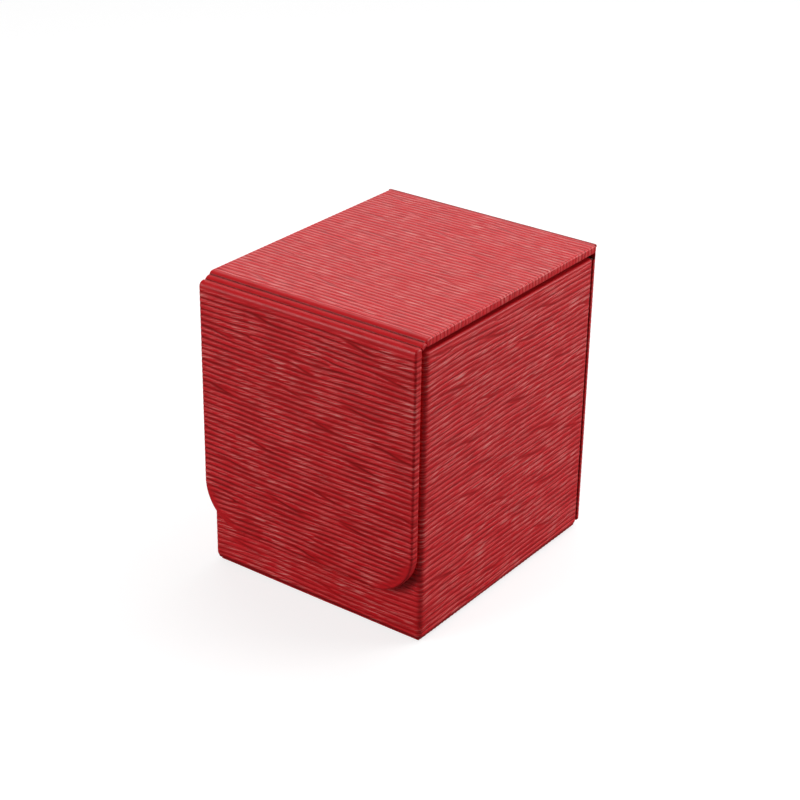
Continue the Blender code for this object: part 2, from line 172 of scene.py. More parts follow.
class Ribs:
    """The embossing: nearly straight ribs that fork here and there, with slanting cuts across them."""

    FORK_AREA = 2500e-6  # one fork on that many square metres
    FORK_HALF = (0.009, 0.016)  # half the length over which a fork opens
    FORK_RISE = (0.03, 0.06)
    FORK_STRETCH = 1.6
    CUT_LEVELS = 0.0105  # spacing of the cuts across the ribs
    CUT_SPACING = 0.034  # and along them
    CUT_DRIFT = (0.007, 0.003)  # how far a cut may lie from its even place, along and across
    CUT_HALF = (0.0045, 0.0075)
    CUT_RISE = (0.10, 0.19)
    CUT_WIDTH = 0.00042
    CUT_CLEARING = 0.0011  # the ribs fade this far on both sides of a cut
    FINE_SLANT = 0.0075  # a fine groove crosses its rib in this length

    def __init__(self, seed, along, across):
        """along and across are the (lowest, highest) values that the pattern has to cover."""
        draw = np.random.default_rng(seed)
        self.slow = wander(draw, 0.085, 1.6)
        self.quick = wander(draw, 0.024, 2.6)
        self.patches = wander(draw, 0.026, 2.6)
        self.swell = wander(draw, 0.020, 3.0)
        area = (along[1] - along[0]) * (across[1] - across[0])
        self.forks = []
        for _ in range(int(area / self.FORK_AREA)):
            place = draw.uniform((along[0], across[0]), (along[1], across[1]))
            half = draw.uniform(*self.FORK_HALF)
            rise = draw.choice((-1, 1)) * draw.uniform(*self.FORK_RISE)
            self.forks.append((place[0], place[1], half, rise, draw.choice((-1, 1))))
        self.cuts = []
        space = self.CUT_SPACING
        drift, shift = self.CUT_DRIFT
        for row, level in enumerate(np.arange(across[0], across[1], self.CUT_LEVELS)):
            for start in np.arange(along[0] + space / 2 * (row % 2), along[1] + space / 2, space):
                middle = start + draw.uniform(-drift, drift)
                height = level + draw.uniform(-shift, shift)
                half = draw.uniform(*self.CUT_HALF)
                self.cuts.append((middle, height, half, -draw.uniform(*self.CUT_RISE)))

    def height(self, along, across):
        """0 at the bottom of a groove to 1 on a rib."""
        quick = sway(self.quick, along, across)
        phase = across / PITCH + 0.13 * sway(self.slow, along, across) + 0.035 * quick
        for middle, level, half, rise, sign in self.forks:
            run = along - middle
            lift = (across - level) * self.FORK_STRETCH
            shift = half * rise * self.FORK_STRETCH
            turn = np.arctan2(lift + shift, run + half) - np.arctan2(lift - shift, run - half)
            phase = phase + sign * turn / (2 * math.pi)
        main = np.abs(np.sin(math.pi * phase)) ** 0.9
        cut = np.zeros_like(main)
        for middle, level, half, rise in self.cuts:
            run = (along - middle) / half
            lift = across - level
            fade = np.exp(-run ** 4)
            main = np.maximum(main, 0.7 * fade * np.exp(-(lift / self.CUT_CLEARING) ** 2))
            slant = rise * half * np.tanh(1.3 * run)
            cut = np.maximum(cut, fade * np.exp(-((lift - slant) / self.CUT_WIDTH) ** 2))
        second = np.abs(np.sin(math.pi * (2 * phase - along / self.FINE_SLANT + 0.5 * quick)))
        patch = np.clip(0.5 + 0.9 * sway(self.patches, along, across), 0, 1)
        height = 0.84 * main + 0.16 * (second * patch + (1 - patch) * 0.8)
        height = height * (1 - 0.75 * cut)
        return np.clip(height * (0.88 + 0.12 * np.tanh(sway(self.swell, along, across))), 0, 1)


# ---------------------------------------------------------------- meshes

def steps(start, end, spacing):
    """Even steps from start to end, both included, about that far apart."""
    return np.linspace(start, end, max(2, int(round(abs(end - start) / spacing)) + 1))


def arc(centre, radius, first, last, count):
    """Points round an arc, without its first one, and their outward directions. Angles in degrees."""
    angles = np.radians(np.linspace(first, last, count + 1)[1:])
    away = np.stack([np.cos(angles), np.sin(angles)], 1)
    return np.asarray(centre) + radius * away, away


def make_skin(name, points, faces, grain):
    """A smooth-shaded leather object from points and quads. Equal points become one. grain is (along, across,
    rib) at each point, which the leather's material reads."""
    points = np.asarray(points, float)
    rounded = np.round(points, MERGED_DIGITS)
    _, first, place = np.unique(rounded, axis=0, return_index=True, return_inverse=True)
    rows = []
    for face in place.reshape(-1)[np.asarray(faces)]:
        corners = list(dict.fromkeys(face.tolist()))
        if len(corners) > 2:
            rows.append(corners)
    mesh = bpy.data.meshes.new(name)
    mesh.from_pydata(points[first].tolist(), [], rows)
    values = np.asarray(grain, np.float32)[first].reshape(-1)
    mesh.attributes.new("grain", "FLOAT_VECTOR", "POINT").data.foreach_set("vector", values)
    mesh.validate()
    mesh.shade_smooth()
    mesh.materials.append(LEATHER_SKIN)
    piece = bpy.data.objects.new(name, mesh)
    bpy.context.scene.collection.objects.link(piece)
    return piece


def grid_faces(rows, columns, start=0, around=False):
    """Quads of a grid of points stored row by row. around joins the last column to the first."""
    row = start + np.arange(rows - 1)[:, None] * columns
    column = np.arange(columns if around else columns - 1)[None, :]
    after = (column + 1) % columns
    next_row = row + columns
    return np.stack([row + column, row + after, next_row + after, next_row + column], -1).reshape(-1, 4)


def thicken(piece, cad_node, thickness=LEATHER, depth=0.0002):
    """Makes an open skin a closed sheet, inwards. Its inner side stays that depth under the faces of the CAD
    node's box, widened to the skin itself, which reaches out to the creases."""
    sheet = piece.modifiers.new("sheet", "SOLIDIFY")
    sheet.thickness = thickness
    sheet.offset = -1
    bpy.context.view_layer.update()
    evaluated = piece.evaluated_get(bpy.context.evaluated_depsgraph_get())
    solid = bpy.data.meshes.new_from_object(evaluated)
    piece.modifiers.clear()
    points = np.empty(len(solid.vertices) * 3)
    solid.vertices.foreach_get("co", points)
    points = points.reshape(-1, 3)
    count = len(piece.data.vertices)
    low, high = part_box(cad_node)
    low = np.minimum(low, points[:count].min(0)) + depth
    high = np.maximum(high, points[:count].max(0)) - depth
    points[count:] = np.clip(points[count:], low, high)
    solid.vertices.foreach_set("co", points.reshape(-1))
    piece.data = solid
    return piece


def crease_shade(distance):
    """How near a crease the leather is, 1 to 0: its colour is darkened there, painted shade in the fold."""
    return np.exp(-(distance / CREASE_SHADE) ** 2)


class Profile:
    """The side view of a cover panel's face, from its lower or front end: points (y, z), outward directions,
    half-widths, and what the leather does there."""

    def __init__(self):
        self.points = []
        self.away = []
        self.width = []  # half-width of the face at each point, up to its rounded edges
        self.inner = []  # where the panel's side ends, (y, z)
        self.plain = []  # 1 where the leather is stretched smooth, 0 where it is ribbed

    def add(self, points, away, width, inner, plain=0.0):
        count = len(points)
        self.points += [tuple(p) for p in points]
        self.away += [tuple(a) for a in np.broadcast_to(away, (count, 2))]
        self.width += list(np.broadcast_to(width, (count,)))
        self.inner += [tuple(p) for p in np.broadcast_to(inner, (count, 2))]
        self.plain += list(np.broadcast_to(plain, (count,)))


def outline_of(rows, columns, bottom):
    """Rows and columns of a face's outline: down one side, along the bottom if wanted, up the other side."""
    upward = np.arange(rows)
    along_bottom = np.arange(1, columns - 1) if bottom else np.arange(0)
    loop_row = np.concatenate([upward[::-1], 0 * along_bottom, upward])
    loop_column = np.concatenate([0 * upward, along_bottom, 0 * upward + columns - 1])
    return loop_row, loop_column


def sideways_of(start, loop_column, last_column, hand, corner):
    """The direction out of the face's outline at each of its points."""
    sideways = np.zeros_like(start)
    sideways[:, 0] = np.where(loop_column == 0, -hand, np.where(loop_column == last_column, hand, 0))
    sideways[:, 2] = np.where(sideways[:, 0] == 0, -1, 0)
    if corner:
        height, radius = corner
        drop = start[:, 2] - height
        reach = np.abs(start[:, 0]) - (COVER_X - radius)
        turned = (drop < -ARC_START) & (sideways[:, 0] != 0)
        size = np.maximum(np.hypot(reach, drop), TINY)
        sideways[turned, 0] = (np.sign(start[:, 0]) * reach / size)[turned]
        sideways[turned, 2] = (drop / size)[turned]
    return sideways


def edge_rings(start, front, sideways, inner, edge, border):
    """Rings of points that carry a face's outline round its edge, along its side, and with a border round its
    back. Returns their places, outward directions, distances from the outline, and how smooth each is."""
    rings = []
    for angle in np.radians((18, 36, 54, 72, 90)):
        direction = front * math.cos(angle) + sideways * math.sin(angle)
        place = start + sideways * edge * math.sin(angle) - front * edge * (1 - math.cos(angle))
        rings.append((place, direction, edge * angle, 0.0))
    outer = rings[-1][0]
    end = outer.copy()
    end[:, 1] = inner[:, 0]
    faces_front = np.abs(front[:, 1]) > 0.999
    end[:, 2] = np.where(faces_front, outer[:, 2], inner[:, 1])
    side = np.linalg.norm(end - outer, axis=1)
    quarter = edge * math.pi / 2
    turn = BACK_TURN if border else 0.0
    count = max(3, int(round(np.median(side) / SIDE_STEP)))
    for step in range(1, count + 1):
        part = np.maximum(side - turn, 0) / np.maximum(side, TINY) * step / count
        place = outer + (end - outer) * part[:, None]
        rings.append((place, sideways, quarter + side * part, 0.3 * step / count))
    if border:
        shoulder = rings[-1][0]
        for angle in np.radians((30, 60, 90)):
            direction = sideways * math.cos(angle) - front * math.sin(angle)
            place = shoulder - sideways * turn * (1 - math.cos(angle)) + (end - shoulder) * math.sin(angle)
            rings.append((place, direction, quarter + side, 0.3 + 0.2 * angle))
        for part in (0.3, 0.6, 0.9, 1.0):
            place = end - sideways * (turn + (border - turn) * part)
            rings.append((place, -front, edge * 2 + side + border * part, 0.7))
    places = np.array([ring[0] for ring in rings])
    directions = np.array([ring[1] for ring in rings])
    distances = np.array([np.broadcast_to(ring[2], len(start)) for ring in rings])
    smooth = np.array([np.broadcast_to(ring[3], len(start)) for ring in rings])
    return places, directions, distances, smooth


def panel(name, profile, ribs, edge, border=0.0, bottom=False, corner=None, hand=1, edge_rib=SMOOTH,
          depth=1.0, creases=()):
    """A cover panel's leather: its face, rounded side edges, sides, and the border turned round the back.

    edge is the radius of those edges. bottom says whether they run round the lower end too, which is the
    profile's first row. corner is (centre height, radius) of two rounded lower corners. hand is -1 for a face
    that looks to the rear. edge_rib is the rib height of the leather pulled smooth on the sides; a low value
    gives the sides the dark groove colour, as painted shade. depth is that of the panel's grooves, as a share
    of a full one. creases are the axes that the panel's ends turn on, where the colour is darkened as painted
    shade."""
    points = np.array(profile.points)
    away = np.array(profile.away)
    inner = np.array(profile.inner)
    plain = np.array(profile.plain)
    width = np.array(profile.width)
    level = np.concatenate([[0], np.cumsum(np.linalg.norm(np.diff(points, axis=0), axis=1))])
    rows = len(points)
    columns = int(round(2 * width.max() / COLUMN)) + 1
    x = hand * np.linspace(-1, 1, columns)[None, :] * width[:, None]
    face = np.stack([x, np.repeat(points[:, :1], columns, 1), np.repeat(points[:, 1:], columns, 1)], -1)
    out = np.zeros_like(face)
    out[..., 1:] = away[:, None, :]
    across = np.repeat(level[:, None], columns, 1)

    loop_row, loop_column = outline_of(rows, columns, bottom)
    start = face[loop_row, loop_column]
    front = out[loop_row, loop_column]
    sideways = sideways_of(start, loop_column, columns - 1, hand, corner)
    rings = edge_rings(start, front, sideways, inner[loop_row], edge, border)
    ring_points, ring_out, distance, smooth = rings
    ring_x = start[:, 0] + sideways[:, 0] * distance
    ring_across = level[loop_row] + sideways[:, 2] * distance

    smooth = np.maximum(smooth, plain[loop_row])
    face_smooth = np.repeat(plain[:, None], columns, 1)
    if corner:
        face_smooth = np.maximum(face_smooth, corner_stretch(face, corner))
        smooth = np.maximum(smooth, corner_stretch(ring_points, corner))
    rib_face = mixed(shallower(ribs.height(x, across), depth), face_smooth)
    rib_ring = mixed(shallower(ribs.height(ring_x, ring_across), depth), smooth, edge_rib)
    sink_face = RIB_HEIGHT * (1 - rib_face)
    sink_ring = EDGE_DEPTH * RIB_HEIGHT * (1 - rib_ring)
    for crease in creases:  # skins on both sides of a crease reach its axis, and their colour is darkened there as painted shade
        near = crease_shade(np.hypot(face[..., 1] - crease.y, face[..., 2] - crease.z))
        sink_face = sink_face * (1 - near)
        sink_ring = sink_ring * (1 - near[loop_row, loop_column])
        rib_face = rib_face * (1 - near)
    face = face - out * sink_face[..., None]
    ring_points = ring_points - ring_out * sink_ring[..., None]

    count = len(loop_row)
    inside = loop_row * columns + loop_column
    outside = rows * columns + np.arange(count)
    strip = np.stack([inside[:-1], outside[:-1], outside[1:], inside[1:]], 1)
    rim = grid_faces(len(ring_points), count, rows * columns)[:, ::-1]
    if not bottom:  # nothing joins the two sides at the lower end
        strip = np.delete(strip, rows - 1, 0)
        rim = rim[np.arange(len(rim)) % (count - 1) != rows - 1]
    face_grain = np.stack([x, across, rib_face], -1).reshape(-1, 3)
    ring_grain = np.stack([ring_x, ring_across, rib_ring], -1).reshape(-1, 3)
    return make_skin(
        name,
        np.concatenate([face.reshape(-1, 3), ring_points.reshape(-1, 3)]),
        np.concatenate([grid_faces(rows, columns), strip, rim]),
        np.concatenate([face_grain, ring_grain]),
    )


def shallower(rib, depth):
    """The rib's height with its grooves less deep."""
    return 1 - depth * (1 - rib)


def mixed(rib, smooth, level=SMOOTH):
    """The rib's height where the leather is pulled more or less smooth, and how high it is there."""
    return rib * (1 - smooth) + level * smooth


def corner_stretch(points, corner):
    """1 where the leather is pulled smooth round the two lower corners, falling to 0 further in."""
    height, radius = corner
    right = np.abs(points[..., 0]) - (COVER_X - radius)
    down = height - points[..., 2]
    distance = np.hypot(np.maximum(right, 0), np.maximum(down, 0))
    in_corner = np.clip(np.minimum(right, down) / 0.004, 0, 1)
    return np.clip((distance - (radius - 0.0035)) / 0.002, 0, 1) * in_corner


def smoothstep(value, low, high):
    share = np.clip((value - low) / (high - low), 0, 1)
    return share * share * (3 - 2 * share)


# ---------------------------------------------------------------- materials

def tree_of(name):
    material = bpy.data.materials.new(name)
    material.use_nodes = True
    tree = material.node_tree
    return material, tree, tree.nodes["Principled BSDF"]


def node(tree, kind, inputs=None, **settings):
    made = tree.nodes.new(kind)
    for key, value in settings.items():
        setattr(made, key, value)
    for key, value in (inputs or {}).items():
        if isinstance(value, bpy.types.NodeSocket):
            tree.links.new(value, made.inputs[key])
        else:
            made.inputs[key].default_value = value
    return made


def scaled(tree, value, low, high, to_low, to_high):
    made = node(tree, "ShaderNodeMapRange", {"Value": value, "From Min": low, "From Max": high,
                                             "To Min": to_low, "To Max": to_high})
    return made.outputs["Result"]


def mix_color(tree, share, first, second):
    made = node(tree, "ShaderNodeMix", data_type="RGBA")
    for index, value in ((0, share), (6, first), (7, second)):
        if isinstance(value, bpy.types.NodeSocket):
            tree.links.new(value, made.inputs[index])
        else:
            made.inputs[index].default_value = value
    return made.outputs[2]


def product(tree, first, second):
    return node(tree, "ShaderNodeMath", {0: first, 1: second}, operation="MULTIPLY").outputs["Value"]


def noise(tree, scale, detail):
    place = node(tree, "ShaderNodeTexCoord").outputs["Object"]
    made = node(tree, "ShaderNodeTexNoise", {
        "Vector": place, "Scale": scale, "Detail": detail, "Roughness": 0.55,
    })
    return made.outputs["Fac"]


def streaks(tree, place, slant, length, width, detail):
    """Noise drawn out into streaks of that length and width, turned by slant degrees."""
    turned = node(tree, "ShaderNodeMapping", {
        "Vector": place, "Rotation": (0, 0, math.radians(slant)), "Scale": (length, width, 1),
    }, vector_type="TEXTURE")
    made = node(tree, "ShaderNodeTexNoise", {
        "Vector": turned.outputs["Vector"], "Scale": 1.0, "Detail": detail, "Roughness": 0.5,
    })
    return made.outputs["Fac"]


def leather_material(name):
    """Red embossed leather: painted shade in the grooves, with pale streaks of painted highlight on the ribs, and
    fine pores.
    """
    material, tree, shader = tree_of(name)
    grain = node(tree, "ShaderNodeAttribute", attribute_name="grain").outputs["Vector"]
    parts = node(tree, "ShaderNodeSeparateXYZ", {"Vector": grain}).outputs
    rib = parts["Z"]
    flat = node(tree, "ShaderNodeCombineXYZ", {"X": parts["X"], "Y": parts["Y"]}).outputs["Vector"]
    rising = streaks(tree, flat, 6, 0.0070, 0.00026, 0.0)
    level = streaks(tree, flat, -2, 0.0100, 0.00070, 1.0)
    clusters = streaks(tree, flat, 0, 0.016, 0.009, 1.0)

    # painted shade: the lower the rib attribute, the nearer the colour is to the dark groove red
    color = mix_color(tree, scaled(tree, rib, 0.22, 0.70, 0, 1), GROOVE_SHADE_RED, RIB_RED)
    color = mix_color(tree, scaled(tree, noise(tree, 55.0, 3.0), 0.35, 0.65, 0.0, 0.30), color, PATCH_RED)
    color = mix_color(tree, scaled(tree, level, 0.54, 0.68, 0, 0.40), color, STREAK_RED)
    # painted highlight: thin pale streaks on the rib crests, in clusters
    pale = product(tree, scaled(tree, rising, 0.54, 0.64, 0, 1), scaled(tree, rib, 0.6, 0.85, 0, 1))
    pale = product(tree, pale, scaled(tree, clusters, 0.36, 0.60, 0.25, 1.0))
    color = mix_color(tree, pale, color, HIGHLIGHT_PINK)
    tree.links.new(color, shader.inputs["Base Color"])
    rough = scaled(tree, noise(tree, 260.0, 4.0), 0.3, 0.7, 0.34, 0.48)
    tree.links.new(rough, shader.inputs["Roughness"])

    pores = product(tree, noise(tree, 3200.0, 2.0), 0.25)
    raised = product(tree, rising, scaled(tree, rib, 0.58, 0.72, 0, 1))
    height = node(tree, "ShaderNodeMath", {0: raised, 1: pores}, operation="ADD").outputs["Value"]
    bump = node(tree, "ShaderNodeBump", {"Height": height, "Strength": 0.5, "Distance": 0.00022})
    tree.links.new(bump.outputs["Normal"], shader.inputs["Normal"])
    shader.inputs["Specular IOR Level"].default_value = 0.26
    shader.inputs["Coat Weight"].default_value = 0.08
    shader.inputs["Coat Roughness"].default_value = 0.20
    return material


def cloth_material(name):
    """Short-nap charcoal microfibre."""
    material, tree, shader = tree_of(name)
    fluff = noise(tree, 1500.0, 4.0)
    brushed = noise(tree, 60.0, 3.0)
    color = mix_color(tree, scaled(tree, fluff, 0.3, 0.7, 0, 1), CLOTH_DARK, CLOTH_MIDDLE)
    color = mix_color(tree, scaled(tree, brushed, 0.4, 0.62, 0, 0.5), color, CLOTH_BRUSHED)
    tree.links.new(color, shader.inputs["Base Color"])
    shader.inputs["Roughness"].default_value = 0.95
    shader.inputs["Sheen Weight"].default_value = 0.35
    shader.inputs["Sheen Roughness"].default_value = 0.5
    bump = node(tree, "ShaderNodeBump", {"Height": fluff, "Strength": 0.5, "Distance": 0.00015})
    tree.links.new(bump.outputs["Normal"], shader.inputs["Normal"])
    return material


def board_material(name):
    """Pressed grey paper board with flecks."""
    material, tree, shader = tree_of(name)
    fleck = noise(tree, 900.0, 5.0)
    color = mix_color(tree, scaled(tree, fleck, 0.35, 0.65, 0, 1), BOARD_FLECK, BOARD_GREY)
    tree.links.new(color, shader.inputs["Base Color"])
    shader.inputs["Roughness"].default_value = 0.92
    bump = node(tree, "ShaderNodeBump", {"Height": fleck, "Strength": 0.3, "Distance": 0.0001})
    tree.links.new(bump.outputs["Normal"], shader.inputs["Normal"])
    return material


def metal_material(name):
    """Nickel plating with faint wear."""
    material, tree, shader = tree_of(name)
    wear = noise(tree, 700.0, 4.0)
    color = mix_color(tree, scaled(tree, wear, 0.3, 0.7, 0, 1), NICKEL_WORN, NICKEL)
    tree.links.new(color, shader.inputs["Base Color"])
    tree.links.new(scaled(tree, wear, 0.3, 0.7, 0.2, 0.38), shader.inputs["Roughness"])
    shader.inputs["Metallic"].default_value = 1.0
    return material


LEATHER_SKIN = leather_material("ribbed_leather_look")
CLOTH = cloth_material("microfibre_look")
BOARD = board_material("greyboard_look")
METAL = metal_material("plated_steel_look")
LOOKS = {"ribbed_leather": LEATHER_SKIN, "microfibre": CLOTH, "greyboard": BOARD, "plated_steel": METAL}


def show(piece, body, slot, *nodes):
    """Rides a piece on its body, in place of the CAD nodes that it stands for."""
    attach(piece, body)
    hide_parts(*nodes)
    return piece


# ---------------------------------------------------------------- the cover's leather

def upright(y, heights):
    """Points (y, z) above each other."""
    return np.stack([np.full_like(heights, y), heights], 1)


def level_run(places, z):
    """Points (y, z) behind each other."""
    return np.stack([places, np.full_like(places, z)], 1)


def make_flap_skin():
    """The flap's sheet, from its lower end up the front, round the bend and back to the second crease."""
    edge = 0.0009
    bend = 0.0019
    smooth_reach = 0.0016  # the ribs fade that far below the bend
    side_end = 0.0006  # its sides end that far under the crease
    centre = FLAP_LOW.z + FLAP_CORNER
    straight_top = FLAP_HIGH.z - bend
    fine = centre - (FLAP_CORNER - edge) * np.cos(np.radians((0, 3, 6, 9, 12)))  # close rows at the lower end
    height = np.concatenate([fine[:-1], steps(fine[-1], straight_top, ROW)])
    below = np.maximum(centre - height, 0)
    width = COVER_X - FLAP_CORNER + np.sqrt(np.maximum((FLAP_CORNER - edge) ** 2 - below ** 2, 0))
    profile = Profile()
    plain = smoothstep(height, straight_top - smooth_reach, straight_top)
    profile.add(upright(FLAP_LOW.y, height), (-1, 0), width, upright(FLAP_HIGH.y, height), plain)
    inner_end = (FLAP_HIGH.y, SECOND_CREASE.z - side_end)
    points, away = arc((FLAP_LOW.y + bend, straight_top), bend, 180, 90, 8)
    profile.add(points, away, COVER_X - edge, inner_end, 1.0)
    share = np.linspace(0, 1, 7)[1:]
    back = points[-1, 0] + (SECOND_CREASE.y - SLIT - points[-1, 0]) * share
    top = FLAP_HIGH.z - (FLAP_HIGH.z - SECOND_CREASE.z) * share ** 1.5
    profile.add(np.stack([back, top], 1), (0, 1), COVER_X - edge, inner_end, 1.0)
    skin = panel("flap_leather_skin", profile, Ribs(*FLAP_RIBS), edge, BORDER, bottom=True,
                 corner=(centre, FLAP_CORNER), creases=(SECOND_CREASE,))
    return show(thicken(skin, "flap_leather"), "flap", "ribbed_leather", "flap_leather")


def make_strip_skin():
    """The narrow strip between the two front creases, a smooth low arch."""
    edge = 0.0008
    bulge = 0.00040
    side = 0.0010
    start = np.array((SECOND_CREASE.y, SECOND_CREASE.z))
    run = np.array((FIRST_CREASE.y, FIRST_CREASE.z)) - start
    length = np.linalg.norm(run)
    normal = np.array((-run[1], run[0])) / length
    share = np.linspace(SLIT / length, 1 - SLIT / length, 11)
    chord = start + share[:, None] * run
    points = chord + (bulge * np.sin(math.pi * share) ** 0.7)[:, None] * normal
    profile = Profile()
    profile.add(points, normal, COVER_X - edge, chord - normal * side, 1.0)
    skin = panel("front_strip_skin", profile, Ribs(*STRIP_RIBS), edge, creases=(FIRST_CREASE, SECOND_CREASE))
    return show(thicken(skin, "front_hinge_leather"), "front_strip", "ribbed_leather", "front_hinge_leather")


def make_lid_skin():
    """The lid's sheet, from the first crease round a quarter ellipse and along the top to the rear crease."""
    edge = 0.00075
    bend = 0.0016
    front_reach = 0.0007  # the leather is smooth that far behind the bend
    rear_reach = 0.0008  # and that far before the end of the lid's sides
    top = LID_HIGH.z
    under = LID_LOW.z
    side_rear = REAR_CREASE.y - LEATHER - 0.00015
    inner_front = (LID_LOW.y + GLUE, under)
    profile = Profile()
    crease = np.array((FIRST_CREASE.y + SLIT, FIRST_CREASE.z))
    profile.add([crease], (-0.5, 0.866), COVER_X - edge, inner_front, 1.0)
    points, away = arc((0.0, 0.0), 1.0, 180, 90, 10)
    size = np.array((bend, top - crease[1]))
    away = away / size / np.linalg.norm(away / size, axis=1)[:, None]
    profile.add(crease + np.array((bend, 0.0)) + points * size, away, COVER_X - edge, inner_front, 1.0)
    front = crease[0] + bend
    back = steps(front, side_rear, ROW)[1:]
    plain = 1 - smoothstep(back, front, front + front_reach)
    plain = np.maximum(plain, smoothstep(back, side_rear - rear_reach, side_rear))
    profile.add(level_run(back, top), (0, 1), COVER_X - edge, level_run(back, under), plain)
    back = steps(side_rear, REAR_CREASE.y - SLIT, ROW)[1:]
    profile.add(level_run(back, top), (0, 1), COVER_X - edge, level_run(back, top - LEATHER), 1.0)
    skin = panel("lid_leather_skin", profile, Ribs(*LID_RIBS), edge, BORDER, depth=LID_DEPTH,
                 creases=(FIRST_CREASE, REAR_CREASE))
    return show(thicken(skin, "lid_leather"), "lid", "ribbed_leather", "lid_leather")


def make_spine_skin():
    """The spine's sheet, which is smooth just under the rear crease."""
    edge = 0.0007
    fade_start = 0.0016
    fade_end = 0.0006
    profile = Profile()
    height = steps(SPINE_LOW.z + edge, REAR_CREASE.z - SLIT, ROW)
    inner_y = np.where(height < SPINE_BOARD_HIGH.z, SPINE_LOW.y, REAR_CREASE.y - LEATHER)
    plain = smoothstep(height, REAR_CREASE.z - fade_start, REAR_CREASE.z - fade_end)
    profile.add(upright(REAR_CREASE.y, height), (1, 0), COVER_X - edge, np.stack([inner_y, height], 1), plain)
    # edge_rib=0.1 gives the spine's sides the dark groove colour: painted shade, where those sides sit in shadow
    skin = panel("spine_leather_skin", profile, Ribs(*SPINE_RIBS), edge, bottom=True, hand=-1, edge_rib=0.1,
                 creases=(REAR_CREASE,))
    return show(thicken(skin, "spine_leather"), "body", "ribbed_leather", "spine_leather")


# ---------------------------------------------------------------- the body's leather

def body_columns():
    """Columns round the body: outward angle in degrees, the signs of the two corners that the column is
    between, the share of the way from one to the other, and the distance along the leather."""
    length_x = 2 * (BODY_HIGH.x - BODY_CORNER)
    length_y = BODY_HIGH.y - BODY_LOW.y - 2 * BODY_CORNER
    sides = (
        (90, (1, 1), (-1, 1), length_x),
        (180, (-1, 1), (-1, -1), length_y),
        (270, (-1, -1), (1, -1), length_x),
        (360, (1, -1), (1, 1), length_y),
    )
    columns = []
    along = 0.0
    for angle, start, end, length in sides:
        count = int(round(length / BODY_COLUMN))
        for step in range(count):
            columns.append((angle, start, end, step / count, along + length * step / count))
        along += length
        for step in range(BODY_CORNER_STEPS):
            turn = angle + 90 * step / BODY_CORNER_STEPS
            columns.append((turn, end, end, 0.0, along + BODY_CORNER * math.radians(turn - angle)))
        along += BODY_CORNER * math.pi / 2
    return columns


def sweep_round(name, sections, ribs):
    """A closed profile carried round the body. A section is (distance out of the wall, height, directions
    out and up, ribbed share)."""
    columns = body_columns()
    middle_y = (BODY_LOW.y + BODY_HIGH.y) / 2
    half_y = (BODY_HIGH.y - BODY_LOW.y) / 2
    angle = np.radians([column[0] for column in columns])
    start = np.array([column[1] for column in columns], float)
    end = np.array([column[2] for column in columns], float)
    share = np.array([column[3] for column in columns])
    along = np.array([column[4] for column in columns])
    outward = np.stack([np.cos(angle), np.sin(angle)], 1)
    points = []
    grain = []
    for out, height, direction, ribbed in sections:
        corner = max(BODY_CORNER + out, SHARPEST_CORNER)
        centre = np.array((BODY_HIGH.x + out - corner, half_y + out - corner))
        place = (start * (1 - share[:, None]) + end * share[:, None]) * centre + outward * corner
        upward = np.sin(math.pi * np.clip(height / WALL_BOW_HEIGHT, 0, 1))
        bow = WALL_BOW * upward * np.sin(math.pi * share) * (out > -OUTER_SIDE)
        rib = np.full_like(along, SMOOTH)
        sink = np.zeros_like(along)
        if ribbed > 0:
            rib = mixed(shallower(ribs.height(along, np.full_like(along, height)), BODY_DEPTH), 1 - ribbed)
            sink = RIB_HEIGHT * (1 - rib) * np.where(share == 0, BODY_CORNER_DEPTH, 1)
        place = place - outward * (bow + sink * direction[0])[:, None]
        points.append(np.stack([place[:, 0], place[:, 1] + middle_y, height - sink * direction[1]], 1))
        grain.append(np.stack([along, np.full_like(along, height - out), rib], 1))
    around = len(columns)
    first_row = np.arange(around)
    last_row = (len(sections) - 1) * around + first_row
    after = (first_row + 1) % around
    closing = np.stack([last_row, last_row[after], first_row[after], first_row], 1)
    faces = np.concatenate([grid_faces(len(sections), around, around=True), closing])
    return make_skin(name, np.array(points).reshape(-1, 3), faces, np.concatenate(grain))


def make_body_skin():
    """The sheet round the body: from under the base, up the walls, over the rim, down inside, and back."""
    top = BODY_HIGH.z
    bottom = BODY_LOW.z
    mouth = -(BODY_HIGH.x + LEFT_BOARD_INSIDE + GLUE + LEATHER)  # the inside face, measured out of the wall
    hem = FRONT_LINING_TOP + GLUE
    under_base = (-0.010, -0.007, -0.004)
    low_bend = 0.0022
    rim = 0.0008
    smooth_reach = 0.0022  # the ribs fade that far below the top
    rim_smooth = 0.9
    sections = [(out, bottom, (0, -1), 0.0) for out in under_base]
    points, away = arc((-low_bend, bottom + low_bend), low_bend, -90, 0, 7)
    for (out, height), direction in zip(points, away):
        sections.append((out, height, direction, float(direction[0])))
    for height in steps(bottom + low_bend, top - rim, BODY_ROW)[1:]:
        fade = float(smoothstep(height, top - smooth_reach, top - rim))
        sections.append((0.0, height, (1, 0), 1.0 - rim_smooth * fade))
    for middle, first, last in ((-rim, 0, 90), (mouth + rim, 90, 180)):
        points, away = arc((middle, top - rim), rim, first, last, 5)
        sections += [(out, height, direction, 0.0) for (out, height), direction in zip(points, away)]
    for height in (top - 0.003, top - 0.005, hem):
        sections.append((mouth, height, (-1, 0), 0.0))
    for out, height in (
        (mouth + LEATHER, hem), (mouth + LEATHER, top - LEATHER), (-LEATHER, top - LEATHER),
        (-LEATHER, bottom + LEATHER), (under_base[0], bottom + LEATHER),
    ):
        sections.append((out, height, (0, 0), 0.0))
    skin = sweep_round("body_leather_skin", sections, Ribs(*BODY_RIBS))
    return show(skin, "body", "ribbed_leather", "body_leather")


